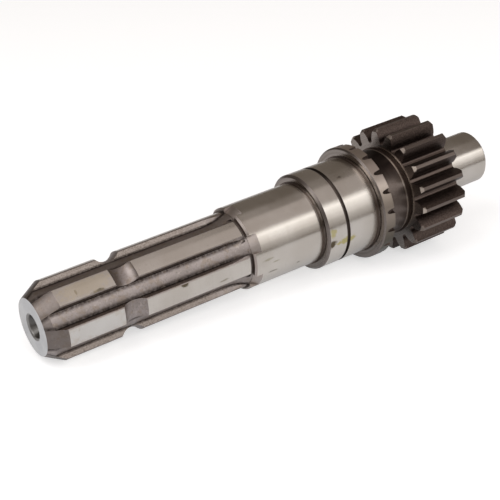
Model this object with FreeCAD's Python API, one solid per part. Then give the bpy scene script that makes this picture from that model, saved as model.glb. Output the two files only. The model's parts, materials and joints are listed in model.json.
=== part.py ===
import FreeCAD, Part
import math
import os

V = FreeCAD.Vector

# Power take-off stub shaft, turned and hobbed from one bar of steel.
# All lengths are millimetres. Places along the shaft are measured from the
# face of its splined end, and angles round it from the side it lies on.

# Splined end: six straight splines, 1 3/8 inch, with a ball groove across them
SPLINE_COUNT = 6
SPLINE_DIAMETER = 34.8
SPLINE_WIDTH = 8.6
SPLINE_ROOT_DIAMETER = 29.2
SPLINE_EDGE_BEVEL = 0.3
SPLINE_LENGTH = 95.3
SPLINE_FULL_DEPTH = 84.8
SPLINE_CUTTER_DIAMETER = 62.0
SPLINE_PHASE = 28.2
LEAD_IN_LENGTH = 8.1
LEAD_IN_ANGLE = 30.0
BALL_GROOVE_PLACE = 38.8
BALL_GROOVE_RADIUS = 6.8
BALL_GROOVE_BOTTOM_DIAMETER = 29.6

# Step from the splines up to the seal seat
SEAL_LEAD_IN = 0.8

# Seats, collar and neck
SEAL_SEAT_DIAMETER = 38.0
SEAL_SEAT_LENGTH = 36.0
BEARING_SEAT_DIAMETER = 45.0
BEARING_SEAT_LENGTH = 28.4
BEARING_WIDTH = 16.0
BEARING_END_PLAY = 0.3
BEARING_SEAT_LEAD_IN = 1.1
SNAP_RING_GROOVE_WIDTH = 1.85
SNAP_RING_GROOVE_DIAMETER = 42.5
COLLAR_DIAMETER = 53.6
COLLAR_LENGTH = 6.2
COLLAR_BEVEL = 0.7
COLLAR_BACK_BEVEL = 0.3
NECK_DIAMETER = 41.0
NECK_LENGTH = 14.2

# Relief groove at the foot of each shoulder, cut into the seat and a little into the face
RELIEF_WIDTH = 1.4
RELIEF_DEPTH = 0.45
RELIEF_SLOPE_LENGTH = 0.5
RELIEF_FACE_DEPTH = 0.15
RELIEF_FACE_HEIGHT = 0.6

# Bevel left in the corners that nothing seats against
CORNER_BEVEL = 1.0

# Spur gear and the hob that cut it
GEAR_MODULE = 3.0
GEAR_TEETH = 18
PRESSURE_ANGLE = 25.0
GEAR_WIDTH = 25.7
GEAR_DEDENDUM = 1.25 * GEAR_MODULE
GEAR_ROOT_FILLET = 0.38 * GEAR_MODULE
GEAR_TIP_BEVEL = 1.2
HOB_DIAMETER = 70.0
HOB_OVERRUN = 3.2
HOB_CORNER_BEVEL = 0.3

# Inner journal behind the gear
INNER_SHOULDER_DIAMETER = 31.0
INNER_SHOULDER_LENGTH = 3.0
INNER_SHOULDER_BEVEL = 0.5
JOURNAL_DIAMETER = 25.0
JOURNAL_LENGTH = 27.0
JOURNAL_BEVEL = 1.5

# Centre holes in the two ends: pilot, 60 degree cone and protecting bevel
SPLINE_CENTRE_PILOT = 5.0
SPLINE_CENTRE_CONE = 10.4
SPLINE_CENTRE_MOUTH = 12.2
SPLINE_CENTRE_DEPTH = 13.0
JOURNAL_CENTRE_PILOT = 4.0
JOURNAL_CENTRE_CONE = 8.5
JOURNAL_CENTRE_MOUTH = 10.0
JOURNAL_CENTRE_DEPTH = 10.0
CONE_HALF_ANGLE = 30.0
MOUTH_HALF_ANGLE = 60.0
DRILL_HALF_ANGLE = 59.0

# How far cutting shapes reach past the steel they cut, how far run-outs turn,
# and how far above a run-out's own floor its flanks are cut
PAST = 2.0
RUN_OUT_TURN = 40.0
FLANK_LIFT = 0.3

# Arcs that follow one involute flank, to within 0.02 mm
FLANK_ARCS = 2

# Radii and places that follow from the sizes above
spline_radius = SPLINE_DIAMETER / 2
spline_root = SPLINE_ROOT_DIAMETER / 2
seal_radius = SEAL_SEAT_DIAMETER / 2
bearing_radius = BEARING_SEAT_DIAMETER / 2
collar_radius = COLLAR_DIAMETER / 2
neck_radius = NECK_DIAMETER / 2
pitch_radius = GEAR_MODULE * GEAR_TEETH / 2
tip_radius = pitch_radius + GEAR_MODULE
gear_root = pitch_radius - GEAR_DEDENDUM
pressure = math.radians(PRESSURE_ANGLE)
base_radius = pitch_radius * math.cos(pressure)
base_half_angle = 90.0 / GEAR_TEETH - math.degrees(math.tan(pressure) - pressure)
inner_radius = INNER_SHOULDER_DIAMETER / 2
journal_radius = JOURNAL_DIAMETER / 2

step_face = SPLINE_LENGTH + RELIEF_WIDTH
bearing_shoulder = step_face + SEAL_LEAD_IN + SEAL_SEAT_LENGTH
collar_face = bearing_shoulder + BEARING_SEAT_LENGTH
snap_ring_end = collar_face - BEARING_WIDTH - BEARING_END_PLAY
snap_ring_start = snap_ring_end - SNAP_RING_GROOVE_WIDTH
collar_back = collar_face + COLLAR_LENGTH
gear_front = collar_back + NECK_LENGTH
gear_back = gear_front + GEAR_WIDTH
inner_shoulder = gear_back + INNER_SHOULDER_LENGTH
journal_end = inner_shoulder + JOURNAL_LENGTH


class Outline:
    """Half section of a turned shape: x runs along the shaft, r out from its axis."""

    def __init__(self, x, r):
        self.start = V(x, 0, r)
        self.here = self.start
        self.edges = []

    def line(self, x, r):
        end = V(x, 0, r)
        self.edges.append(Part.LineSegment(self.here, end).toShape())
        self.here = end

    def arc(self, mid_x, mid_r, x, r):
        end = V(x, 0, r)
        self.edges.append(Part.Arc(self.here, V(mid_x, 0, mid_r), end).toShape())
        self.here = end

    def turned(self, turn=360):
        closing = Part.LineSegment(self.here, self.start).toShape()
        face = Part.Face(Part.Wire(self.edges + [closing]))
        return face.revolve(V(0, 0, 0), V(1, 0, 0), turn)


def turned_blank():
    """The shaft as it leaves the lathe, before splines and teeth are cut."""
    blank = Outline(0, 0)

    # Splined end: lead-in cone, then the ball groove
    blank.line(0, spline_radius - LEAD_IN_LENGTH * math.tan(math.radians(LEAD_IN_ANGLE)))
    blank.line(LEAD_IN_LENGTH, spline_radius)
    groove_bottom = BALL_GROOVE_BOTTOM_DIAMETER / 2
    groove_centre = groove_bottom + BALL_GROOVE_RADIUS
    groove_half = math.sqrt(BALL_GROOVE_RADIUS**2 - (groove_centre - spline_radius)**2)
    blank.line(BALL_GROOVE_PLACE - groove_half, spline_radius)
    blank.arc(BALL_GROOVE_PLACE, groove_bottom, BALL_GROOVE_PLACE + groove_half, spline_radius)

    # Step up to the seal seat
    relief_up_to(blank, step_face, spline_radius)
    blank.line(step_face, seal_radius - SEAL_LEAD_IN)
    blank.line(step_face + SEAL_LEAD_IN, seal_radius)

    # Bearing seat between its two shoulders, with the snap ring groove
    relief_up_to(blank, bearing_shoulder, seal_radius)
    blank.line(bearing_shoulder, bearing_radius - BEARING_SEAT_LEAD_IN)
    blank.line(bearing_shoulder + BEARING_SEAT_LEAD_IN, bearing_radius)
    blank.line(snap_ring_start, bearing_radius)
    blank.line(snap_ring_start, SNAP_RING_GROOVE_DIAMETER / 2)
    blank.line(snap_ring_end, SNAP_RING_GROOVE_DIAMETER / 2)
    blank.line(snap_ring_end, bearing_radius)
    relief_up_to(blank, collar_face, bearing_radius)

    # Collar and neck
    blank.line(collar_face, collar_radius - COLLAR_BEVEL)
    blank.line(collar_face + COLLAR_BEVEL, collar_radius)
    blank.line(collar_back - COLLAR_BACK_BEVEL, collar_radius)
    blank.line(collar_back, collar_radius - COLLAR_BACK_BEVEL)
    blank.line(collar_back, neck_radius + CORNER_BEVEL)
    blank.line(collar_back + CORNER_BEVEL, neck_radius)
    relief_up_to(blank, gear_front, neck_radius)

    # Gear blank with its bevelled tips
    blank.line(gear_front, tip_radius - GEAR_TIP_BEVEL)
    blank.line(gear_front + GEAR_TIP_BEVEL, tip_radius)
    blank.line(gear_back - GEAR_TIP_BEVEL, tip_radius)
    blank.line(gear_back, tip_radius - GEAR_TIP_BEVEL)

    # Shoulder and inner journal
    blank.line(gear_back, inner_radius + CORNER_BEVEL)
    blank.line(gear_back + CORNER_BEVEL, inner_radius)
    blank.line(inner_shoulder - INNER_SHOULDER_BEVEL, inner_radius)
    blank.line(inner_shoulder, inner_radius - INNER_SHOULDER_BEVEL)
    blank.line(inner_shoulder, journal_radius - RELIEF_DEPTH)
    blank.line(inner_shoulder + RELIEF_WIDTH - RELIEF_SLOPE_LENGTH, journal_radius - RELIEF_DEPTH)
    blank.line(inner_shoulder + RELIEF_WIDTH, journal_radius)
    blank.line(journal_end - JOURNAL_BEVEL, journal_radius)
    blank.line(journal_end, journal_radius - JOURNAL_BEVEL)
    blank.line(journal_end, 0)
    return blank.turned()


def relief_up_to(outline, face, radius):
    """Run along a seat to a shoulder's face, with the relief groove at its foot.

    The groove also undercuts the face, so a bearing's ring seats flat on what is left."""
    outline.line(face - RELIEF_WIDTH, radius)
    outline.line(face - RELIEF_WIDTH + RELIEF_SLOPE_LENGTH, radius - RELIEF_DEPTH)
    outline.line(face + RELIEF_FACE_DEPTH, radius - RELIEF_DEPTH)
    outline.line(face, radius + RELIEF_FACE_HEIGHT)


def centre_hole(face, inward, pilot, cone, mouth, depth):
    """Centre hole drilled from an end face; inward is 1 or -1 along the shaft."""
    mouth_depth = (mouth - cone) / 2 / math.tan(math.radians(MOUTH_HALF_ANGLE))
    cone_depth = mouth_depth + (cone - pilot) / 2 / math.tan(math.radians(CONE_HALF_ANGLE))
    point_depth = depth + pilot / 2 / math.tan(math.radians(DRILL_HALF_ANGLE))
    hole = Outline(face - inward * PAST, 0)
    hole.line(face - inward * PAST, mouth / 2)
    hole.line(face, mouth / 2)
    hole.line(face + inward * mouth_depth, cone / 2)
    hole.line(face + inward * cone_depth, pilot / 2)
    hole.line(face + inward * depth, pilot / 2)
    hole.line(face + inward * point_depth, 0)
    return hole.turned()


def around(radius, degrees):
    """Point in the cross-section, at an angle from straight down."""
    angle = math.radians(degrees)
    return V(0, -radius * math.sin(angle), -radius * math.cos(angle))


def mirrored(point):
    return V(point.x, -point.y, point.z)


def between(centre, first, last, radius):
    """Middle of the short arc from first to last round a centre."""
    to_first = (first - centre).normalize()
    to_last = (last - centre).normalize()
    return centre + (to_first + to_last).normalize() * radius


def slot_face(x, floor, side):
    """Cross-section in the plane at x of a slot that opens straight down.

    side is its outline from the end of the floor to the rim. The other side
    mirrors it."""
    other_side = [edge.mirror(V(0, 0, 0), V(0, 1, 0)) for edge in side]
    rim = side[-1].Vertexes[-1].Point
    lid = Part.LineSegment(rim, mirrored(rim)).toShape()
    face = Part.Face(Part.Wire(Part.sortEdges([floor, lid] + side + other_side)[0]))
    face.translate(V(x, 0, 0))
    return face


def run_out(face, floor, cutter_diameter, turn):
    """The cut that a round cutter leaves past the face's plane, where it stops.

    It is the face turned about the cutter's axis, which lies across the shaft
    at the cutter's radius below the slot's floor."""
    x = face.CenterOfMass.x
    cutter_middle = V(x, 0, -floor - cutter_diameter / 2)
    return face.revolve(cutter_middle, V(0, 1, 0), turn)


def flank_turn(radius):
    """Angle from the middle of a gap between splines to their flanks, at a radius."""
    return 180.0 / SPLINE_COUNT - math.degrees(math.asin(SPLINE_WIDTH / 2 / radius))


def spline_gap(floor_radius):
    """Gap between two splines down to a radius. Its flanks are parallel to the splines."""
    foot = around(floor_radius, flank_turn(floor_radius))
    rim_radius = seal_radius + PAST
    flank = Part.LineSegment(foot, around(rim_radius, flank_turn(rim_radius)))
    floor = Part.Arc(mirrored(foot), around(floor_radius, 0), foot)
    return slot_face(SPLINE_FULL_DEPTH, floor.toShape(), [flank.toShape()])


def run_out_floor():
    """Rising floor past the full depth, as wide in angle as the gap's own floor."""
    cutter_radius = SPLINE_CUTTER_DIAMETER / 2
    centre = V(SPLINE_FULL_DEPTH, 0, spline_root + cutter_radius)
    rise = seal_radius + PAST - spline_root
    reach = math.sqrt(cutter_radius**2 - (cutter_radius - rise)**2)
    first = V(SPLINE_FULL_DEPTH, 0, spline_root)
    last = V(SPLINE_FULL_DEPTH + reach, 0, seal_radius + PAST)
    middle = between(centre, first, last, cutter_radius)
    floor = Outline(first.x, first.z)
    floor.arc(middle.x, middle.z, last.x, last.z)
    floor.line(first.x, last.z)
    half_width = flank_turn(spline_root)
    sector = floor.turned(2 * half_width)
    sector.rotate(V(0, 0, 0), V(1, 0, 0), 180 - half_width)
    return sector


def edge_bevel(side):
    """Wedge that bevels one edge of the spline that points straight down."""
    y = side * SPLINE_WIDTH / 2
    z = -math.sqrt(spline_radius**2 - y**2)
    on_flank = V(-PAST, y + side * PAST, z + SPLINE_EDGE_BEVEL + PAST)
    on_land = V(-PAST, y - side * (SPLINE_EDGE_BEVEL + PAST), z - PAST)
    outside = V(-PAST, y + side * PAST, z - PAST)
    wedge = Part.Face(Part.makePolygon([on_flank, on_land, outside, on_flank]))
    return wedge.extrude(V(SPLINE_LENGTH + RELIEF_SLOPE_LENGTH + PAST, 0, 0))


def involute(radius):
    """Angle that the involute has opened by at a radius, from the base circle."""
    unwound = math.sqrt((radius / base_radius)**2 - 1)
    return math.degrees(unwound - math.atan(unwound))


def flank_point(arc):
    """Point of the involute flank after a number of its arcs, counted from the base circle."""
    radius = base_radius + (tip_radius + PAST - base_radius) * (arc / FLANK_ARCS)**2
    return around(radius, base_half_angle + involute(radius))


def tooth_space():
    """Gap between two gear teeth: root, root fillets and involute flanks."""
    centre_radius = gear_root + GEAR_ROOT_FILLET
    fillet_turn = math.degrees(math.asin(GEAR_ROOT_FILLET / centre_radius))
    centre = around(centre_radius, base_half_angle - fillet_turn)
    foot = around(gear_root, base_half_angle - fillet_turn)
    low = around(math.sqrt(centre_radius**2 - GEAR_ROOT_FILLET**2), base_half_angle)

    floor = Part.Arc(mirrored(foot), around(gear_root, 0), foot)
    side = [
        Part.Arc(foot, between(centre, foot, low, GEAR_ROOT_FILLET), low).toShape(),
        Part.LineSegment(low, flank_point(0)).toShape(),
    ]
    for arc in range(FLANK_ARCS):
        side.append(Part.Arc(*[flank_point(arc + half) for half in (0, 0.5, 1)]).toShape())
    return slot_face(gear_front - PAST, floor.toShape(), side)


def hob_tooth():
    """Outline of one tooth of the hob, whose straight flanks lean by the pressure angle."""
    lean = math.tan(pressure)
    half_tip = math.pi * GEAR_MODULE / 4 - GEAR_DEDENDUM * lean
    height = tip_radius + PAST - gear_root
    bevel = HOB_CORNER_BEVEL
    points = [
        V(0, -half_tip + bevel, -gear_root),
        V(0, -half_tip - bevel * lean, -gear_root - bevel),
        V(0, -half_tip - height * lean, -gear_root - height),
    ]
    floor = Part.LineSegment(mirrored(points[0]), points[0])
    side = [Part.LineSegment(a, b).toShape() for a, b in zip(points, points[1:])]
    return slot_face(gear_front - HOB_OVERRUN, floor.toShape(), side)


def repeated(shape, count, phase):
    """Copies of a shape round the shaft, the first turned from straight down by phase."""
    copies = []
    for index in range(count):
        copy = shape.copy()
        copy.rotate(V(0, 0, 0), V(-1, 0, 0), phase + 360.0 / count * index)
        copies.append(copy)
    return copies


def resting_tilt():
    """Angle at which the shaft lies: on two gear teeth and the first corner it meets."""
    tip_angle = base_half_angle + involute(tip_radius)
    gear_drop = tip_radius * math.cos(math.radians(tip_angle))
    gear_corner = gear_front + GEAR_TIP_BEVEL

    land_angle = math.degrees(math.asin(SPLINE_WIDTH / 2 / spline_radius))
    nearest = min(abs(SPLINE_PHASE), abs(SPLINE_PHASE - 360.0 / SPLINE_COUNT))
    land_turn = math.radians(max(0.0, nearest - land_angle))
    corners = [
        (LEAD_IN_LENGTH, spline_radius * math.cos(land_turn)),
        (step_face + SEAL_LEAD_IN, seal_radius),
        (bearing_shoulder + BEARING_SEAT_LEAD_IN, bearing_radius),
        (collar_face + COLLAR_BEVEL, collar_radius),
    ]
    slopes = [(gear_drop - drop) / (gear_corner - x) for x, drop in corners]
    return math.degrees(math.atan(min(slopes)))


def laid_down(shape):
    """The shape as it rests, its lowest point on z = 0 and its middle over the origin."""
    shape.rotate(V(0, 0, 0), V(0, -1, 0), resting_tilt())
    box = shape.optimalBoundingBox(False, False)
    shape.translate(V(-box.Center.x, -box.Center.y, -box.ZMin))
    return shape


def stub_shaft():
    shaft = turned_blank()
    shaft = shaft.cut(centre_hole(0, 1, SPLINE_CENTRE_PILOT, SPLINE_CENTRE_CONE,
                                  SPLINE_CENTRE_MOUTH, SPLINE_CENTRE_DEPTH))
    shaft = shaft.cut(centre_hole(journal_end, -1, JOURNAL_CENTRE_PILOT, JOURNAL_CENTRE_CONE,
                                  JOURNAL_CENTRE_MOUTH, JOURNAL_CENTRE_DEPTH))

    gap = spline_gap(spline_root).extrude(V(-SPLINE_FULL_DEPTH - PAST, 0, 0))
    flanks = run_out(spline_gap(spline_root + FLANK_LIFT), spline_root,
                     SPLINE_CUTTER_DIAMETER, RUN_OUT_TURN)
    slot = gap.fuse([run_out_floor(), flanks])
    shaft = shaft.cut(repeated(slot, SPLINE_COUNT, SPLINE_PHASE + 180.0 / SPLINE_COUNT))
    for side in (-1, 1):
        shaft = shaft.cut(repeated(edge_bevel(side), SPLINE_COUNT, SPLINE_PHASE))

    # A tooth space faces straight down, so the shaft lies on the teeth beside it
    space = tooth_space().extrude(V(GEAR_WIDTH + 2 * PAST, 0, 0))
    shaft = shaft.cut(repeated(space, GEAR_TEETH, 0))
    hob_mark = run_out(hob_tooth(), gear_root, HOB_DIAMETER, -RUN_OUT_TURN)
    return shaft.cut(repeated(hob_mark, GEAR_TEETH, 0))


os.makedirs("parts", exist_ok=True)
shaft = laid_down(stub_shaft())
print("solids", len(shaft.Solids), "faces", len(shaft.Faces), "valid", shaft.isValid())
print("length", round(journal_end, 2), "tilt", round(resting_tilt(), 3))
print("box", shaft.optimalBoundingBox(False, False))
shaft.exportStep("parts/stub_shaft.step")
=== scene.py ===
# %% [markdown]
# # A power take-off stub shaft
#
# The real object is one bar of steel that was turned, hobbed, hardened and
# ground. It lies on a pale floor, on two teeth of its gear and one spline.
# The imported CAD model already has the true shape, so this lesson is about
# finishes: how each way of cutting steel leaves its own light on the surface.

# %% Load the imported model
import json
import math
from types import SimpleNamespace

import bmesh
import bpy
from mathutils import Euler, Matrix, Vector


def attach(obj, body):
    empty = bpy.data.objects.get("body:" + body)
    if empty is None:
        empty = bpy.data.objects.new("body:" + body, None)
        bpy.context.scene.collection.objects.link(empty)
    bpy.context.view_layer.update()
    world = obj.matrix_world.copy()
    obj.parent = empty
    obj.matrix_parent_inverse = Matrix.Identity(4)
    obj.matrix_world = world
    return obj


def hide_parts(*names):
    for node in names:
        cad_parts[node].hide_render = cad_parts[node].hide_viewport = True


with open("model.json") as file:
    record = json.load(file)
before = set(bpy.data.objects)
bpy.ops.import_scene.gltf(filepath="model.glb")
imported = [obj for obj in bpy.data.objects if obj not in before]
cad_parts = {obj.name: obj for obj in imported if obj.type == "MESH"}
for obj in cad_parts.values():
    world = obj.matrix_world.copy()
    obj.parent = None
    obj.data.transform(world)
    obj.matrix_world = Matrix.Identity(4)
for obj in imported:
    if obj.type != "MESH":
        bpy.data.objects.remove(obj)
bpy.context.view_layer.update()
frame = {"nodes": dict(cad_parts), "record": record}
shaft_node = frame["nodes"]["stub_shaft"]

# %% [markdown]
# ## Coordinates that follow the shaft
#
# A turned part is easiest to describe by how far along its axis a point lies
# and how far out from it. The shaft rests slightly tilted, so its axis is
# read from the mount on its splined end, which sits at the middle of that
# face and points out of it.

# %% Read where the axis lies
MM = 0.001

end_mount = next(m for m in frame["record"]["mounts"] if m["name"] == "splined_end")
end_face = Vector(end_mount["pos_m"])
along = -Vector(end_mount["axis"]).normalized()
tilt = math.atan2(along.z, along.x)
print("end face at", tuple(end_face), "tilt", round(math.degrees(tilt), 3), "degrees")


def shaft_place(point):
    """Distance along the shaft and out from its axis, in millimetres, and the way out."""
    offset = (point - end_face) / MM
    s = offset.dot(along)
    out = offset - s * along
    return s, out.length, out.normalized()


# %% [markdown]
# ## One clean mesh from the CAD triangles
#
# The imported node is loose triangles, which shade as flat facets. The finished
# piece is a copy of it with its points merged, so that neighbouring triangles
# share their corners and can shade as one surface.

# %% Merge a copy of the node
MERGE_DISTANCE = 2e-6

shaft_mesh = shaft_node.data.copy()
shaft_mesh.name = "stub_shaft_finished"
cleaner = bmesh.new()
cleaner.from_mesh(shaft_mesh)
bmesh.ops.remove_doubles(cleaner, verts=cleaner.verts, dist=MERGE_DISTANCE)
bmesh.ops.dissolve_degenerate(cleaner, edges=cleaner.edges, dist=MERGE_DISTANCE)
open_edges = [edge for edge in cleaner.edges if len(edge.link_faces) != 2]
cleaner.to_mesh(shaft_mesh)
cleaner.free()
shaft_mesh.materials.clear()
shaft = bpy.data.objects.new("stub_shaft_finished", shaft_mesh)
bpy.context.scene.collection.objects.link(shaft)
print("triangles", len(shaft_mesh.polygons), "open edges", len(open_edges))

# %% [markdown]
# ## Normals that keep highlights straight
#
# Polished steel shows every small error of its normals as a kink in the
# highlight. Smooth shading alone would average across the thin triangles of a
# turned surface and bend it. On a cylinder or cone the exact normal is known:
# it leans the same way all along and points straight out from the axis. In
# the ball groove it points to the groove's own centre line. At a corner of
# any other face, the faces that meet there smoothly are averaged, the largest
# counting most, so flat flanks stay flat.

# %% Give turned surfaces their exact normals
BALL_GROOVE_PLACE = 38.8
BALL_GROOVE_RING = 21.6
BALL_GROOVE_RADIUS = 6.8
ON_GROOVE = 0.02
SHARP_ANGLE = math.radians(24)
TURNED_LIMIT = 0.12


def turned_normals(face):
    """Exact normal at each corner of a face of a turned surface, or None for other faces."""
    _, _, out = shaft_place(face.center)
    sideways = along.cross(out)
    if abs(face.normal.dot(sideways)) > TURNED_LIMIT or face.normal.dot(out) < TURNED_LIMIT:
        return None
    corners = [shaft_place(shaft_mesh.vertices[v].co) for v in face.vertices]
    in_groove = all(
        abs(math.hypot(s - BALL_GROOVE_PLACE, r - BALL_GROOVE_RING) - BALL_GROOVE_RADIUS) < ON_GROOVE
        for s, r, _ in corners
    )
    if in_groove:
        return [
            ((BALL_GROOVE_PLACE - s) * along + (BALL_GROOVE_RING - r) * out).normalized()
            for s, r, out in corners
        ]
    lean = face.normal.dot(along)
    rise = math.sqrt(max(0.0, 1 - lean * lean))
    return [(lean * along + rise * out).normalized() for _, _, out in corners]


def averaged_normals(face):
    """Normal at each corner of a face, averaged with the faces that continue it smoothly."""
    normals = []
    for corner in face.vertices:
        smooth = [f for f in faces_at[corner] if f.normal.dot(face.normal) > math.cos(SHARP_ANGLE)]
        normals.append(sum((f.area * f.normal for f in smooth), Vector()).normalized())
    return normals


faces_at = [[] for vertex in shaft_mesh.vertices]
for face in shaft_mesh.polygons:
    for corner in face.vertices:
        faces_at[corner].append(face)

corner_normals = []
turned_count = 0
for face in shaft_mesh.polygons:
    exact = turned_normals(face)
    turned_count += bool(exact)
    corner_normals.extend(exact or averaged_normals(face))
shaft_mesh.polygons.foreach_set("use_smooth", [True] * len(shaft_mesh.polygons))
shaft_mesh.normals_split_custom_set(corner_normals)
print("faces with exact turned normals:", turned_count)

# %% [markdown]
# ## Where each finish lies
#
# The places below are millimetres from the splined end, and the radii are
# millimetres from the axis. Bearings and the seal run on ground steel, the
# brightest finish. Everything the grinder did not touch keeps the brown tint
# of heat treatment: the spline gaps, the cone, the collar and neck, and
# darkest of all the hobbed gear. The two end faces were turned bright after
# hardening. A face's finish is told by where it lies and how it faces, since
# the CAD model says nothing of finishes.

# %% Name the places along the shaft
LEAD_IN_END = 8.1
SPLINE_END = 95.3
STEP = 96.7
SEAL_SEAT = (97.5, 132.1)
SHOULDER = 133.5
BEARING_SEAT = (134.6, 160.5)
COLLAR = (161.9, 168.1)
GEAR = (182.3, 208.0)
JOURNAL = (212.4, 236.5)
SHAFT_LENGTH = 238.0
SPLINE_RADIUS = 17.4
SEAL_RADIUS = 19.0
BEARING_RADIUS = 22.5
COLLAR_RADIUS = 26.8
NECK_RADIUS = 20.5
GEAR_ROOT = 23.25
GEAR_TIP = 30.0
JOURNAL_RADIUS = 12.5

GROUND_SEATS = [
    (SPLINE_RADIUS, LEAD_IN_END, SPLINE_END),
    (SEAL_RADIUS, *SEAL_SEAT),
    (BEARING_RADIUS, *BEARING_SEAT),
    (JOURNAL_RADIUS, *JOURNAL),
]
RELIEFS = [
    (STEP, SPLINE_RADIUS),
    (SHOULDER, SEAL_RADIUS),
    (COLLAR[0], BEARING_RADIUS),
    (GEAR[0], NECK_RADIUS),
]
print(len(GROUND_SEATS), "ground seats and", len(RELIEFS), "relief grooves")

# %% [markdown]
# ## The sides of the splines
#
# The six splines stand 60 degrees apart, and the shaft lies with one of them
# 28.2 degrees to the back of straight up. A point's angle, folded into half a
# pitch, says how far it lies from the middle of the nearest one.

# %% Measure from the nearest spline
SPLINE_PITCH = 60.0
SPLINE_PHASE = 28.2
SPLINE_WIDTH = 8.6


def spline_side(radius, out):
    """Distance past the side of the nearest spline: below zero on its land, above in a gap."""
    turn = math.degrees(math.atan2(-out.y, out.z)) + SPLINE_PHASE
    from_middle = abs((turn + SPLINE_PITCH / 2) % SPLINE_PITCH - SPLINE_PITCH / 2)
    return radius * math.sin(math.radians(from_middle)) - SPLINE_WIDTH / 2


print("up is", round(spline_side(SPLINE_RADIUS, Vector((0, 0, 1))), 2), "mm past a spline's side")

# %% [markdown]
# ## Sorting the faces
#
# Each rule takes the faces it is sure of and leaves the rest to the next one.
# The ground seats come first, since the grinder cut last. The slopes of the
# relief grooves, and the floor of the groove beside the gear, take the
# darkest finish, the gear's, as painted shade in the grooves. The notches in
# the collar were cut by the hob and take it too. How far a face looks along
# the shaft is a number from 0, straight out from the axis, to 1, straight
# along it.

# %% Sort the faces by finish
FINISHES = [
    "ground_steel", "faced_steel", "shoulder_steel",
    "milled_steel", "tempered_steel", "hobbed_steel",
]
CLOSE = 0.06
END_ON = 0.9
SLOPING = 0.3
NEARLY_LEVEL = 0.1
CENTRE_HOLE_REACH = 6.0
RELIEF_WIDTH = 1.4
RELIEF_DEPTH = 0.45
BEVEL = 0.2
BEVEL_RISE = 0.3
NOTCH_REACH = 26.7
NOTCH_FACING = 0.5
RUN_OUT_LENGTH = 8.0


def finish_of(face):
    """Which finish this face takes; relief grooves take the gear's dark one as painted shade."""
    s, radius, out = shaft_place(face.center)
    corners = [shaft_place(shaft_mesh.vertices[v].co) for v in face.vertices]
    facing = abs(face.normal.dot(along))

    def on(seat_radius, first, last):
        return all(
            abs(r - seat_radius) < CLOSE and first - CLOSE < place < last + CLOSE
            for place, r, _ in corners
        )

    if any(on(*seat) for seat in GROUND_SEATS):
        return "ground_steel"
    in_centre_hole = radius < CENTRE_HOLE_REACH and facing > NEARLY_LEVEL
    at_end = (s < CLOSE or s > SHAFT_LENGTH - CLOSE) and facing > END_ON
    if in_centre_hole or at_end:
        return "faced_steel"
    for shoulder, seat_radius in RELIEFS:
        start, end = shoulder - RELIEF_WIDTH, shoulder + BEVEL
        if not start - CLOSE < s < end:
            continue
        if on(seat_radius - RELIEF_DEPTH, start, end) and facing < NEARLY_LEVEL:
            # Painted shade: the floor of the groove beside the gear takes the gear's dark finish.
            if shoulder == GEAR[0]:
                return "hobbed_steel"
            return "ground_steel" if shoulder >= SHOULDER else "tempered_steel"
        turned_slope = abs(face.normal.dot(along.cross(out))) < TURNED_LIMIT and facing > SLOPING
        in_gap = shoulder < SHOULDER and spline_side(radius, out) > 0
        # Painted shade: the relief slopes take the gear's dark finish.
        if turned_slope and radius < seat_radius + BEVEL_RISE and not in_gap:
            return "hobbed_steel"
    if facing > END_ON and any(abs(s - place) < CLOSE for place in (SHOULDER, COLLAR[0], GEAR[0])):
        return "shoulder_steel"
    if COLLAR[0] < s < COLLAR[1] - CLOSE and radius < NOTCH_REACH and facing < NOTCH_FACING:
        return "hobbed_steel"
    on_step = s > SPLINE_END and facing > END_ON
    if s < SPLINE_END + RUN_OUT_LENGTH and radius < SEAL_RADIUS + CLOSE and not on_step:
        return "milled_steel"
    if GEAR[0] - CLOSE < s < GEAR[1] + CLOSE:
        return "hobbed_steel"
    return "tempered_steel"


face_counts = dict.fromkeys(FINISHES, 0)
for face in shaft_mesh.polygons:
    finish = finish_of(face)
    face.material_index = FINISHES.index(finish)
    face_counts[finish] += 1
print("faces of each finish:", face_counts)

# %% [markdown]
# ## Helpers for materials
#
# Colours are written as the hex codes a paint program shows and turned to
# linear light by one function. Another adds a node, sets it and links it.
# A third gives each material the shaft's own millimetres: a Mapping node moves
# the object's coordinates onto the axis, and the distance from it follows.

# %% Add nodes and read the shaft's coordinates
def linear(hex_code):
    """Linear colour of an sRGB hex code, with full alpha."""
    parts = [int(hex_code[i:i + 2], 16) / 255 for i in (1, 3, 5)]
    return [c / 12.92 if c <= 0.04045 else ((c + 0.055) / 1.055) ** 2.4 for c in parts] + [1.0]


def add(tree, kind, inputs=None, **settings):
    """Add a node with its settings, and link or set its inputs. A hex code is made linear."""
    node = tree.nodes.new(kind)
    for name, value in settings.items():
        setattr(node, name, value)
    for socket, value in (inputs or {}).items():
        if isinstance(value, bpy.types.NodeSocket):
            tree.links.new(value, node.inputs[socket])
        else:
            node.inputs[socket].default_value = linear(value) if isinstance(value, str) else value
    return node


def new_material(name):
    """Empty node material and its tree."""
    material = bpy.data.materials.new(name)
    material.use_nodes = True
    material.node_tree.nodes.clear()
    return material, material.node_tree


def shaft_coordinates(tree):
    """Place on the axis in millimetres, its parts s, side and height, and the radius."""
    turn = Euler((0, tilt, 0))
    place = add(tree, "ShaderNodeMapping", {
        "Vector": add(tree, "ShaderNodeTexCoord").outputs["Object"],
        "Location": -(turn.to_matrix() @ end_face) / MM,
        "Rotation": turn,
        "Scale": (1 / MM, 1 / MM, 1 / MM),
    }).outputs[0]
    parts = add(tree, "ShaderNodeSeparateXYZ", {0: place}).outputs
    across = add(tree, "ShaderNodeCombineXYZ", {"Y": parts["Y"], "Z": parts["Z"]}).outputs[0]
    radius = add(tree, "ShaderNodeVectorMath", {0: across}, operation="LENGTH").outputs["Value"]
    return SimpleNamespace(place=place, s=parts["X"], side=parts["Y"], height=parts["Z"], radius=radius)


print("helpers ready; #808080 is", [round(c, 3) for c in linear("#808080")[:3]])

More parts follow.
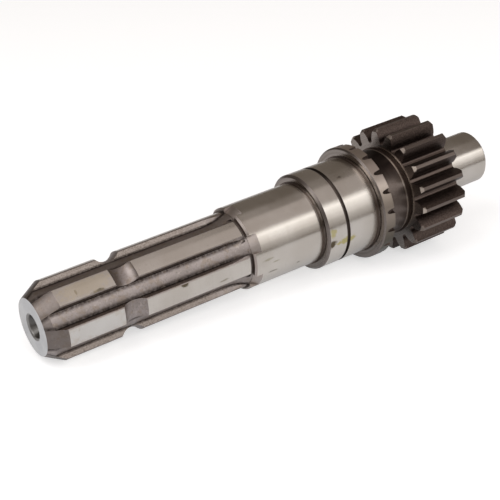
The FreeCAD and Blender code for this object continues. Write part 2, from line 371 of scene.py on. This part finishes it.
# %% [markdown]
# ## Marks, masks and layers
#
# Three things recur in these steels. Tool marks are a noise stretched into
# lines: turning and grinding leave rings round the shaft, milling and hobbing
# leave lines along it. A real spacing of a tenth of a millimetre is under one
# pixel here, so the marks are drawn two to four times coarser. Coordinates are
# millimetres, so a scale of 5 puts marks 0.2 mm apart and one of 0.05 makes
# them 20 mm long. A mask says where something is seen, by soft steps
# multiplied together. A colour is built as a painter would, in thin layers,
# each with its own mask.

# %% Build marks, masks and layers
def tool_marks(tree, place, along_scale, across_scale, detail=3.0):
    """Noise drawn out round the shaft or along it, as the marks of a cutting edge are."""
    scaled = add(tree, "ShaderNodeMapping", {
        "Vector": place,
        "Scale": (along_scale, across_scale, across_scale),
    }).outputs[0]
    return add(tree, "ShaderNodeTexNoise", {
        "Vector": scaled, "Scale": 1.0, "Detail": detail,
    }).outputs["Fac"]


def mask(tree, *steps):
    """Product of soft steps. A step is a value, where it starts and ends, and what it gives there."""
    product = None
    for step in steps:
        if not isinstance(step, bpy.types.NodeSocket):
            value, start, end, *gives = step
            before, after = gives or (0.0, 1.0)
            step = add(tree, "ShaderNodeMapRange", {
                "Value": value, "From Min": start, "From Max": end, "To Min": before, "To Max": after,
            }, interpolation_type="SMOOTHSTEP").outputs[0]
        if product is not None:
            step = add(tree, "ShaderNodeMath", {0: product, 1: step}, operation="MULTIPLY").outputs[0]
        product = step
    return product


def layered(tree, tone, *layers):
    """Colour with layers laid over it. A layer is a colour and the steps of its mask."""
    for colour, *steps in layers:
        amount = mask(tree, *steps)
        tone = add(tree, "ShaderNodeMix", {0: amount, 6: tone, 7: colour}, data_type="RGBA").outputs[2]
    return tone


def steel(tree, colour, roughness, marks, bump_strength, bump_metres, **sockets):
    """Metal shader with its colour, roughness and tool marks, ending in the output node."""
    bumped = add(tree, "ShaderNodeBump", {
        "Height": marks, "Strength": bump_strength, "Distance": bump_metres,
    })
    inputs = {"Base Color": colour, "Metallic": 1.0, "Roughness": roughness, "Normal": bumped.outputs[0]}
    inputs.update(sockets)
    shader = add(tree, "ShaderNodeBsdfPrincipled", inputs)
    add(tree, "ShaderNodeOutputMaterial", {"Surface": shader.outputs[0]})


materials = {}
print("marks, masks and layers ready")

# %% [markdown]
# ## Ground steel
#
# The seats for the seal and the bearings, and the outer faces of the splines,
# are hardened alloy steel, ground last. A grinding wheel leaves very fine
# rings, so the metal is bright and smooth round the shaft and less smooth
# along it, and its highlight is drawn out along the shaft. An anisotropic
# shader does that when its tangent is the shaft's own direction. The touch of
# brown is the alloy's own tint. The tone drifts slowly, over 17 mm or so, and
# faint streaks and pits under a millimetre wide break it up.

# %% Ground steel
material, tree = new_material("ground_steel")
at = shaft_coordinates(tree)
rings = tool_marks(tree, at.place, 5.0, 0.05)
streaks = tool_marks(tree, at.place, 1.1, 0.08, detail=2.0)
drift = add(tree, "ShaderNodeTexNoise", {
    "Vector": at.place, "Scale": 0.06, "Detail": 3.0,
}).outputs["Fac"]
pits = add(tree, "ShaderNodeTexNoise", {
    "Vector": at.place, "Scale": 1.3, "Detail": 4.0, "Roughness": 0.6,
}).outputs["Fac"]
ground_tone = layered(
    tree, "#bfb8b0",
    ("#c9c3bc", (drift, 0.35, 0.65)),
    ("#a3988c", (streaks, 0.6, 0.8, 0.0, 0.2)),
    ("#6f5f50", (pits, 0.66, 0.74, 0.0, 0.5)),
)
print("ground tone has", len(tree.nodes), "nodes")

# %% [markdown]
# ## Stains on the ground steel
#
# Thin oil has dried to yellow and brown stains, near the snap ring groove
# most of all, and two splines carry a paler film near their free ends. Each is
# an ellipsoid, listed with its colour, middle, size and strength, since no
# noise would put them where they are. A coarse noise pushes the place about,
# so that the edges wander as a dried drop's do.

# %% Stain the ground steel
STAINS = [
    ("#b3a86a", (136.3, -22.4, 2.4), (2.0, 1.0, 2.6), 0.7),
    ("#ada25e", (143.3, -22.2, -3.3), (5.6, 1.2, 1.9), 0.8),
    ("#4f432e", (135.6, -22.1, -2.8), (2.4, 1.2, 2.0), 0.95),
    ("#8a8468", (103.2, -19.0, 0.4), (3.0, 0.6, 0.8), 0.5),
    ("#8a8468", (107.3, -18.9, -1.8), (2.0, 0.6, 0.5), 0.5),
    ("#6a6455", (105.9, -17.8, -6.7), (2.6, 0.6, 0.6), 0.6),
    ("#6a6455", (119.9, -17.4, -7.7), (1.0, 0.6, 0.6), 0.6),
    ("#77705c", (81.1, -17.3, -2.1), (2.4, 0.5, 0.6), 0.6),
    ("#50452f", (62.0, -17.0, 3.3), (2.2, 1.0, 1.5), 0.9),
    ("#5e5334", (25.3, -12.0, 12.6), (4.0, 0.8, 0.8), 0.7),
    ("#6f6347", (16.7, -9.9, 14.3), (0.6, 1.4, 1.4), 0.6),
    ("#6b5f52", (150.5, -9.0, 20.6), (1.6, 0.8, 0.5), 0.5),
    ("#cdc1a6", (21.0, -9.2, 14.8), (13.0, 4.5, 3.5), 0.4),
    ("#d3d3d3", (22.0, -17.4, -0.5), (16.0, 3.0, 5.0), 0.4),
]
WANDER = 1.6
STAIN_CORE = 0.6
STAIN_EDGE = 1.1
GRINDING_STRETCH = 0.6

wander = add(tree, "ShaderNodeTexNoise", {
    "Vector": at.place, "Scale": 0.5, "Detail": 3.0,
}).outputs["Color"]
for stain_colour, middle, size, strength in STAINS:
    away = add(tree, "ShaderNodeVectorMath", {0: at.place, 1: middle}, operation="SUBTRACT").outputs[0]
    away = add(tree, "ShaderNodeVectorMath", {0: away, 1: size}, operation="DIVIDE").outputs[0]
    away = add(tree, "ShaderNodeVectorMath", {
        0: wander, 1: (WANDER, WANDER, WANDER), 2: away,
    }, operation="MULTIPLY_ADD").outputs[0]
    reach = add(tree, "ShaderNodeVectorMath", {
        0: away, 1: (WANDER / 2, WANDER / 2, WANDER / 2),
    }, operation="DISTANCE").outputs["Value"]
    stain = (reach, STAIN_CORE, STAIN_EDGE, strength, 0.0)
    ground_tone = layered(tree, ground_tone, (stain_colour, stain))
roughness = mask(tree, (drift, 0.3, 0.7, 0.22, 0.27))
stretch = add(tree, "ShaderNodeCombineXYZ", {"X": along.x, "Y": along.y, "Z": along.z}).outputs[0]
steel(
    tree, ground_tone, roughness, rings, bump_strength=0.01, bump_metres=0.0001,
    Anisotropic=GRINDING_STRETCH, Tangent=stretch,
)
materials["ground_steel"] = material
print("made", material.name, "with", len(STAINS), "stains")

# %% [markdown]
# ## Faced steel
#
# The end faces and their centre holes were cut on the lathe, which leaves
# rings round the centre instead of along the shaft. A noise on the radius and
# the place along the shaft alone has no angle in it, so it draws rings. The
# holes get darker inside, where oil and less light reach.

# %% Faced steel
HOLE_MOUTH = 6.0
HOLE_CONE = 5.1

material, tree = new_material("faced_steel")
at = shaft_coordinates(tree)
ring_place = add(tree, "ShaderNodeCombineXYZ", {"X": at.radius, "Y": at.s}).outputs[0]
rings = add(tree, "ShaderNodeTexNoise", {"Vector": ring_place, "Scale": 3.0}).outputs["Fac"]
drift = add(tree, "ShaderNodeTexNoise", {
    "Vector": at.place, "Scale": 0.15, "Detail": 3.0,
}).outputs["Fac"]
tone = layered(
    tree, "#c4c4c5",
    ("#d0d0d0", (drift, 0.35, 0.65)),
    ("#8f8d8b", (at.radius, HOLE_MOUTH - 0.1, HOLE_MOUTH + 0.1, 1.0, 0.0)),
    ("#565452", (at.radius, HOLE_CONE - 0.2, HOLE_CONE + 0.2, 0.85, 0.0)),
)
roughness = mask(tree, (rings, 0.3, 0.7, 0.3, 0.42))
steel(tree, tone, roughness, rings, bump_strength=0.1, bump_metres=0.0002)
materials["faced_steel"] = material
print("made", material.name)

# %% [markdown]
# ## Shoulder steel
#
# Three flat faces look along the shaft: the step up to the bearing seat, the
# collar's face that the bearing rests against, and the front of the gear. They
# are smoother than the end faces, so that a bearing sits square, and darker,
# as hardening left them. Their rings are made as on the end faces.

# %% Shoulder steel
material, tree = new_material("shoulder_steel")
at = shaft_coordinates(tree)
ring_place = add(tree, "ShaderNodeCombineXYZ", {"X": at.radius, "Y": at.s}).outputs[0]
rings = add(tree, "ShaderNodeTexNoise", {"Vector": ring_place, "Scale": 3.0}).outputs["Fac"]
tone = layered(tree, "#857c76", ("#958d87", (rings, 0.35, 0.65)))
roughness = mask(tree, (rings, 0.3, 0.7, 0.16, 0.22))
steel(tree, tone, roughness, rings, bump_strength=0.05, bump_metres=0.0002)
materials["shoulder_steel"] = material
print("made", material.name)

# %% [markdown]
# ## Milled steel
#
# The gaps between the splines and the lead-in cone were cut before hardening
# and keep its thin oxide, a mauve brown. Milling leaves soft lines along the
# shaft and a satin surface. Handling has rubbed it unevenly, so the colour is
# four noises of different size: a slow drift, brown patches 3 mm wide, a dark
# grain of half a millimetre and paler rubbed spots.

# %% Grain of the milled steel
material, tree = new_material("milled_steel")
at = shaft_coordinates(tree)
lines = tool_marks(tree, at.place, 0.15, 3.0)
drift = add(tree, "ShaderNodeTexNoise", {
    "Vector": at.place, "Scale": 0.12, "Detail": 3.0,
}).outputs["Fac"]
patches = add(tree, "ShaderNodeTexNoise", {
    "Vector": at.place, "Scale": 0.35, "Detail": 4.0, "Roughness": 0.6,
}).outputs["Fac"]
grain = add(tree, "ShaderNodeTexNoise", {
    "Vector": at.place, "Scale": 1.7, "Detail": 4.0, "Roughness": 0.65,
}).outputs["Fac"]
rubbed = add(tree, "ShaderNodeTexNoise", {
    "Vector": at.place, "Scale": 0.8, "Detail": 4.0, "Roughness": 0.65,
}).outputs["Fac"]
milled_tone = layered(
    tree, "#938a86",
    ("#9e9592", (drift, 0.35, 0.65)),
    ("#8f8072", (patches, 0.5, 0.62, 0.0, 0.5)),
    ("#6c625d", (grain, 0.52, 0.68, 0.0, 0.5)),
    ("#b3a9a3", (rubbed, 0.55, 0.7, 0.0, 0.6)),
)
print("milled grain has", len(tree.nodes), "nodes")

# %% [markdown]
# ## Painted shade at the foot of each spline
#
# The corners at the foot of each spline are painted darker, as painted
# shade. The material therefore works out, by the same rule as before, how far
# a point lies past the side of the nearest spline. Math nodes in a row do it,
# and a Ping-Pong of the angle stands for the folding. Where the round cutter
# left the work, the floor of each gap rises along the cutter's circle, and a
# second row of Math nodes follows it, so that the painted shade rises with
# the floor.

# %% Measure from spline sides and gap floors
SPLINE_ROOT_RADIUS = 14.6
SPLINE_FULL_DEPTH = 84.8
SPLINE_CUTTER_DIAMETER = 62.0

from_side = at.side
for operation, other in [
    ("MULTIPLY", -1.0),
    ("ARCTAN2", at.height),
    ("ADD", math.radians(SPLINE_PHASE)),
    ("PINGPONG", math.radians(SPLINE_PITCH / 2)),
    ("SINE", 0.0),
    ("MULTIPLY", at.radius),
    ("SUBTRACT", SPLINE_WIDTH / 2),
]:
    from_side = add(tree, "ShaderNodeMath", {0: from_side, 1: other}, operation=operation).outputs[0]

over_floor = at.s
for operation, other in [
    ("SUBTRACT", SPLINE_FULL_DEPTH),
    ("MAXIMUM", 0.0),
    ("POWER", 2.0),
    ("DIVIDE", -SPLINE_CUTTER_DIAMETER),
    ("ADD", at.radius),
    ("SUBTRACT", SPLINE_ROOT_RADIUS),
]:
    over_floor = add(tree, "ShaderNodeMath", {0: over_floor, 1: other}, operation=operation).outputs[0]
print("spline sides and gap floors measured in", len(tree.nodes), "nodes")

# %% [markdown]
# ## Layers over the milled grain
#
# The lead-in cone is darker in front of each spline. The flanks are browner,
# less so near the cutter's run-out, and also smoother. Painted shade darkens
# the corners, and what the cutter cut past the step is paler. The ball groove
# was cut by another tool and is a little rougher. All of these follow from
# the measures above.

# %% Finish the milled steel
GROOVE_HALF_LENGTH = 8.0
GROOVE_FLOOR_RADIUS = 14.7
GROOVE_EXTRA_ROUGHNESS = 0.04
FLANK_FADE = (72.0, 84.0)

on_land = (from_side, -0.08, -0.03, 1.0, 0.0)
flank = mask(tree, (from_side, 0.03, 0.08, 1.0, 0.0), (from_side, -0.08, -0.03))
flank_tone = layered(tree, "#968c86", ("#71675f", (grain, 0.4, 0.7)))
milled_tone = layered(
    tree, milled_tone,
    ("#5d5550", (at.s, LEAD_IN_END - 0.1, LEAD_IN_END + 0.05, 0.6, 0.0), on_land),
    (flank_tone, flank, (at.s, *FLANK_FADE, 1.0, 0.3)),
    # Painted shade in the corners at the foot of each spline.
    (
        "#332b28",
        (from_side, -0.06, 0.0),
        (from_side, 0.4, 2.0, 0.96, 0.0),
        (over_floor, 0.3, 1.0, 1.0, 0.0),
        (rubbed, 0.3, 0.7, 1.0, 0.6),
    ),
    ("#c0b6b0", (at.s, STEP - 0.1, STEP + 0.1, 0.0, 0.4)),
)
from_groove = at.s
for operation, other in [("SUBTRACT", BALL_GROOVE_PLACE), ("ABSOLUTE", 0.0)]:
    from_groove = add(tree, "ShaderNodeMath", {0: from_groove, 1: other}, operation=operation).outputs[0]
in_groove = mask(
    tree,
    (from_groove, GROOVE_HALF_LENGTH - 0.3, GROOVE_HALF_LENGTH, GROOVE_EXTRA_ROUGHNESS, 0.0),
    (at.radius, GROOVE_FLOOR_RADIUS - 0.05, GROOVE_FLOOR_RADIUS + 0.05),
)
roughness = mask(tree, (grain, 0.3, 0.7, 0.34, 0.42), (flank, 0.0, 1.0, 1.0, 0.62))
roughness = add(tree, "ShaderNodeMath", {0: roughness, 1: in_groove}, operation="ADD").outputs[0]
steel(tree, milled_tone, roughness, lines, bump_strength=0.1, bump_metres=0.0003)
materials["milled_steel"] = material
print("made", material.name)

# %% [markdown]
# ## Tempered steel
#
# The collar and the neck were turned and then left as hardening and tempering
# browned them. Rings from the lathe tool still show. The neck is the darkest,
# and darker still towards its top, which is painted shade. A pale line along
# its edge beside the gear is a painted highlight. The collar's rim is painted
# paler at the top, a painted highlight, and turns darker olive towards the
# bottom, so its layers follow the height.

# %% Tempered steel
NECK_HIGHLIGHT_START = 180.0

material, tree = new_material("tempered_steel")
at = shaft_coordinates(tree)
rings = tool_marks(tree, at.place, 3.0, 0.05)
grain = add(tree, "ShaderNodeTexNoise", {
    "Vector": at.place, "Scale": 2.0, "Detail": 4.0, "Roughness": 0.6,
}).outputs["Fac"]
neck = (at.s, COLLAR[1] + 0.4, COLLAR[1] + 3.9, 0.0, 0.55)
collar_rim = mask(
    tree,
    (at.radius, COLLAR_RADIUS - 0.75, COLLAR_RADIUS - 0.6),
    (at.s, COLLAR[0] + 0.65, COLLAR[0] + 0.75),
)
tone = layered(
    tree, "#736b67",
    ("#827a75", (rings, 0.35, 0.65)),
    ("#5a504b", (grain, 0.45, 0.7, 0.0, 0.5)),
    ("#52463f", neck),
    # Painted shade: the neck darkens towards its top.
    ("#2c2422", neck, (at.height, 12.0, 18.0, 0.0, 1.7)),
    # Painted highlight: a pale line along the neck's edge beside the gear.
    (
        "#c0b5ab",
        (at.s, NECK_HIGHLIGHT_START, NECK_HIGHLIGHT_START + 0.4, 0.0, 0.8),
        (at.radius, NECK_RADIUS - 0.1, NECK_RADIUS - 0.05),
    ),
    ("#94897f", collar_rim),
    # Painted highlight: the collar's rim is paler at the top.
    ("#bdb1a9", collar_rim, (at.height, 12.0, 20.0, 0.0, 0.8)),
    # The collar's rim turns darker olive towards the bottom.
    ("#453f33", collar_rim, (at.height, -12.0, 7.0, 0.92, 0.0)),
)
roughness = mask(tree, (grain, 0.3, 0.7, 0.28, 0.38))
steel(tree, tone, roughness, rings, bump_strength=0.12, bump_metres=0.0003)
materials["tempered_steel"] = material
print("made", material.name)

# %% [markdown]
# ## Hobbed steel
#
# The gear was cut with a hob and case hardened, which turned it nearly black.
# Hobbing leaves short lines along the teeth. The roots are painted a little
# paler, a painted highlight, and so are the tip lands. The corners of the
# teeth that face the neck carry a painted highlight, strongest from the
# middle of the gear up to near its top.

# %% Hobbed steel
material, tree = new_material("hobbed_steel")
at = shaft_coordinates(tree)
lines = tool_marks(tree, at.place, 0.2, 2.5)
grain = add(tree, "ShaderNodeTexNoise", {
    "Vector": at.place, "Scale": 1.6, "Detail": 4.0, "Roughness": 0.6,
}).outputs["Fac"]
tone = layered(
    tree, "#443a36",
    ("#5c504a", (grain, 0.35, 0.65)),
    # Painted highlight: the roots a little paler.
    (
        "#85776f",
        (at.radius, GEAR_ROOT + 0.05, GEAR_ROOT + 0.2, 0.35, 0.0),
        (at.s, GEAR[1] - 0.2, GEAR[1] - 0.1, 1.0, 0.0),
    ),
    # Painted highlight: the tip lands paler.
    ("#857a73", (at.radius, GEAR_TIP - 0.12, GEAR_TIP - 0.04, 0.0, 0.55)),
    # Painted highlight on the corners of the teeth that face the neck.
    (
        "#b5aaa0",
        (at.s, GEAR[0] + 1.0, GEAR[0] + 1.6, 1.0, 0.0),
        (at.radius, GEAR_TIP - 1.25, GEAR_TIP - 1.0),
        (at.height, -4.0, 0.0, 0.25, 1.0),
        (at.height, 22.0, 25.0, 1.0, 0.3),
    ),
)
roughness = mask(tree, (grain, 0.3, 0.7, 0.34, 0.5))
steel(tree, tone, roughness, lines, bump_strength=0.15, bump_metres=0.0003)
materials["hobbed_steel"] = material
print("made", material.name)

# %% [markdown]
# ## Giving the piece its finishes
#
# The faces already hold the number of their finish, so the materials go onto
# the mesh in the same order. The piece rides on the model's one body, stands
# for the CAD node and is steel all through.

# %% Give each face its finish
for finish in FINISHES:
    shaft_mesh.materials.append(materials[finish])
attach(shaft, "root")
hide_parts("stub_shaft")
print("slots", [slot.name for slot in shaft_mesh.materials])

# %% [markdown]
# ## Floor
#
# Steel shows its surroundings more than its own colour, so the studio matters
# as much as the shaders. The floor is matt and pale. It glows for the camera,
# which makes it near white around the shadow, and less for mirrored rays, so
# that the undersides of the steel see a pale floor too. Diffuse rays see no
# glow, so it adds no light to matt surfaces. The floor's front edge lies a
# quarter of a metre before the shaft, and past it the steel mirrors the darker
# world: that is the dark line low on each cylinder.

# %% Floor
FLOOR_REACH = 6.0
FLOOR_FRONT = -0.27
CAMERA_GLOW = 0.56
MIRRORED_GLOW = 0.26

floor_mesh = bpy.data.meshes.new("floor")
floor_corners = [
    (-FLOOR_REACH, FLOOR_FRONT, 0), (FLOOR_REACH, FLOOR_FRONT, 0),
    (FLOOR_REACH, FLOOR_REACH, 0), (-FLOOR_REACH, FLOOR_REACH, 0),
]
floor_mesh.from_pydata(floor_corners, [], [(0, 1, 2, 3)])
floor = bpy.data.objects.new("floor", floor_mesh)
bpy.context.scene.collection.objects.link(floor)
material, tree = new_material("pale_floor")
rays = add(tree, "ShaderNodeLightPath").outputs
glow_strength = 0.0
for ray, strength in [
    ("Is Camera Ray", CAMERA_GLOW),
    ("Is Glossy Ray", MIRRORED_GLOW),
    ("Is Transmission Ray", MIRRORED_GLOW),
]:
    seen = add(tree, "ShaderNodeMath", {0: rays[ray], 1: strength}, operation="MULTIPLY").outputs[0]
    glow_strength = add(tree, "ShaderNodeMath", {0: glow_strength, 1: seen}, operation="MAXIMUM").outputs[0]
glow = add(tree, "ShaderNodeEmission", {
    "Color": layered(tree, "#ecf1f7", ("#ffffff", rays["Is Camera Ray"])), "Strength": glow_strength,
})
matt = add(tree, "ShaderNodeBsdfDiffuse", {"Color": "#e7e8ea"})
both = add(tree, "ShaderNodeAddShader", {0: matt.outputs[0], 1: glow.outputs[0]})
add(tree, "ShaderNodeOutputMaterial", {"Surface": both.outputs[0]})
floor_mesh.materials.append(material)
print("floor reaches", FLOOR_REACH, "m; its front edge is at y =", FLOOR_FRONT)

# %% [markdown]
# ## World
#
# The camera sees a white room. The steel mirrors a warm mid grey one, which
# gives the turned surfaces their brown darks between the lamps.

# %% World
world = bpy.data.worlds.new("studio")
bpy.context.scene.world = world
world.use_nodes = True
tree = world.node_tree
tree.nodes.clear()
rays = add(tree, "ShaderNodeLightPath").outputs
room = layered(tree, "#7a726a", ("#ffffff", rays["Is Camera Ray"]))
background = add(tree, "ShaderNodeBackground", {"Color": room, "Strength": 1.0})
add(tree, "ShaderNodeOutputWorld", {"Surface": background.outputs[0]})
print("world", world.name)

# %% [markdown]
# ## Lamps
#
# A cylinder mirrors what stands round it as bands along its length, so the
# lamps are long softboxes parallel to the shaft, each between two angles above
# the floor. The front strips get brighter up to 46 degrees: they make the soft
# rise to the white band on the seal seat and its sharper upper edge. The upper
# and rear softboxes are dim, for the brown greys near the top of each
# cylinder. The left one faces the splined end, which it makes the palest face.

# %% Lamps
LAMP_DISTANCE = 1.0
LEFT_END = -1.1
RIGHT_END = 1.5
LOW_STRIP_TOP = 18
LOW_STRIP_LEFT_END = -0.1
FRONT_STRIPS = [
    (0, 8, 0.35), (8, 18, 0.52), (18, 28, 0.92), (28, 36, 1.22),
    (36, 41, 1.35), (41, 46, 1.95), (46, 52, 1.2),
]
LEFT_SOFTBOX_PLACE = (-0.75, -0.06, 0.94)
LEFT_SOFTBOX_SIZE = 0.8


def softbox(name, place, turn, width, height, radiance, colour="#ffffff"):
    """Rectangular lamp whose face looks as bright as the radiance says, whatever its size."""
    light = bpy.data.lights.new(name, "AREA")
    light.shape = "RECTANGLE"
    light.size = width
    light.size_y = height
    light.energy = radiance * math.pi * width * height
    light.color = linear(colour)[:3]
    lamp = bpy.data.objects.new(name, light)
    lamp.location = place
    lamp.rotation_euler = turn
    bpy.context.scene.collection.objects.link(lamp)
    print(name, "at", [round(c, 2) for c in place], "energy", round(light.energy, 2))


def long_softbox(name, lowest, highest, left, right, radiance, colour="#ffffff"):
    """Softbox parallel to the shaft, between two angles above the floor and two places along X."""
    middle = math.radians((lowest + highest) / 2)
    half = math.radians((highest - lowest) / 2)
    place = ((left + right) / 2, -LAMP_DISTANCE * math.cos(middle), LAMP_DISTANCE * math.sin(middle))
    height = 2 * LAMP_DISTANCE * math.tan(half)
    softbox(name, place, (math.pi / 2 - middle, 0, 0), right - left, height, radiance, colour)


for lowest, highest, radiance in FRONT_STRIPS:
    left = LOW_STRIP_LEFT_END if highest <= LOW_STRIP_TOP else LEFT_END
    long_softbox("front_strip_%d" % highest, lowest, highest, left, RIGHT_END, radiance)
long_softbox("upper_softbox", 52, 92, -0.6, 0.65, 0.47, "#fff8f8")
long_softbox("rear_softbox", 92, 112, -0.6, 0.38, 0.43, "#fff8f8")
towards_shaft = Vector(LEFT_SOFTBOX_PLACE).to_track_quat("Z", "Y").to_euler()
softbox("left_softbox", LEFT_SOFTBOX_PLACE, towards_shaft, LEFT_SOFTBOX_SIZE, LEFT_SOFTBOX_SIZE, 2.3)

# %% [markdown]
# ## Camera
#
# The camera looks down about 27 degrees with a lens near 91 mm, worked out
# from the circles of the shaft in the photograph.

# %% Camera
CAMERA_PLACE = (-0.29238, -0.41544, 0.27257)
CAMERA_TURN = math.radians(33.98)
CAMERA_DOWN = math.radians(26.747)
CAMERA_ROLL = math.radians(-0.716)
SENSOR_MM = 36.0
LENS_MM = 90.85

camera_data = bpy.data.cameras.new("camera")
camera_data.sensor_width = SENSOR_MM
camera_data.lens = LENS_MM
camera = bpy.data.objects.new("camera", camera_data)
aim = Euler((math.pi / 2 - CAMERA_DOWN, 0, -CAMERA_TURN)).to_matrix()
rolled = aim @ Matrix.Rotation(CAMERA_ROLL, 3, "Z")
camera.matrix_world = Matrix.Translation(CAMERA_PLACE) @ rolled.to_4x4()
bpy.context.scene.collection.objects.link(camera)
bpy.context.scene.camera = camera
bpy.context.scene.view_settings.view_transform = "Standard"
print("camera lens", LENS_MM)
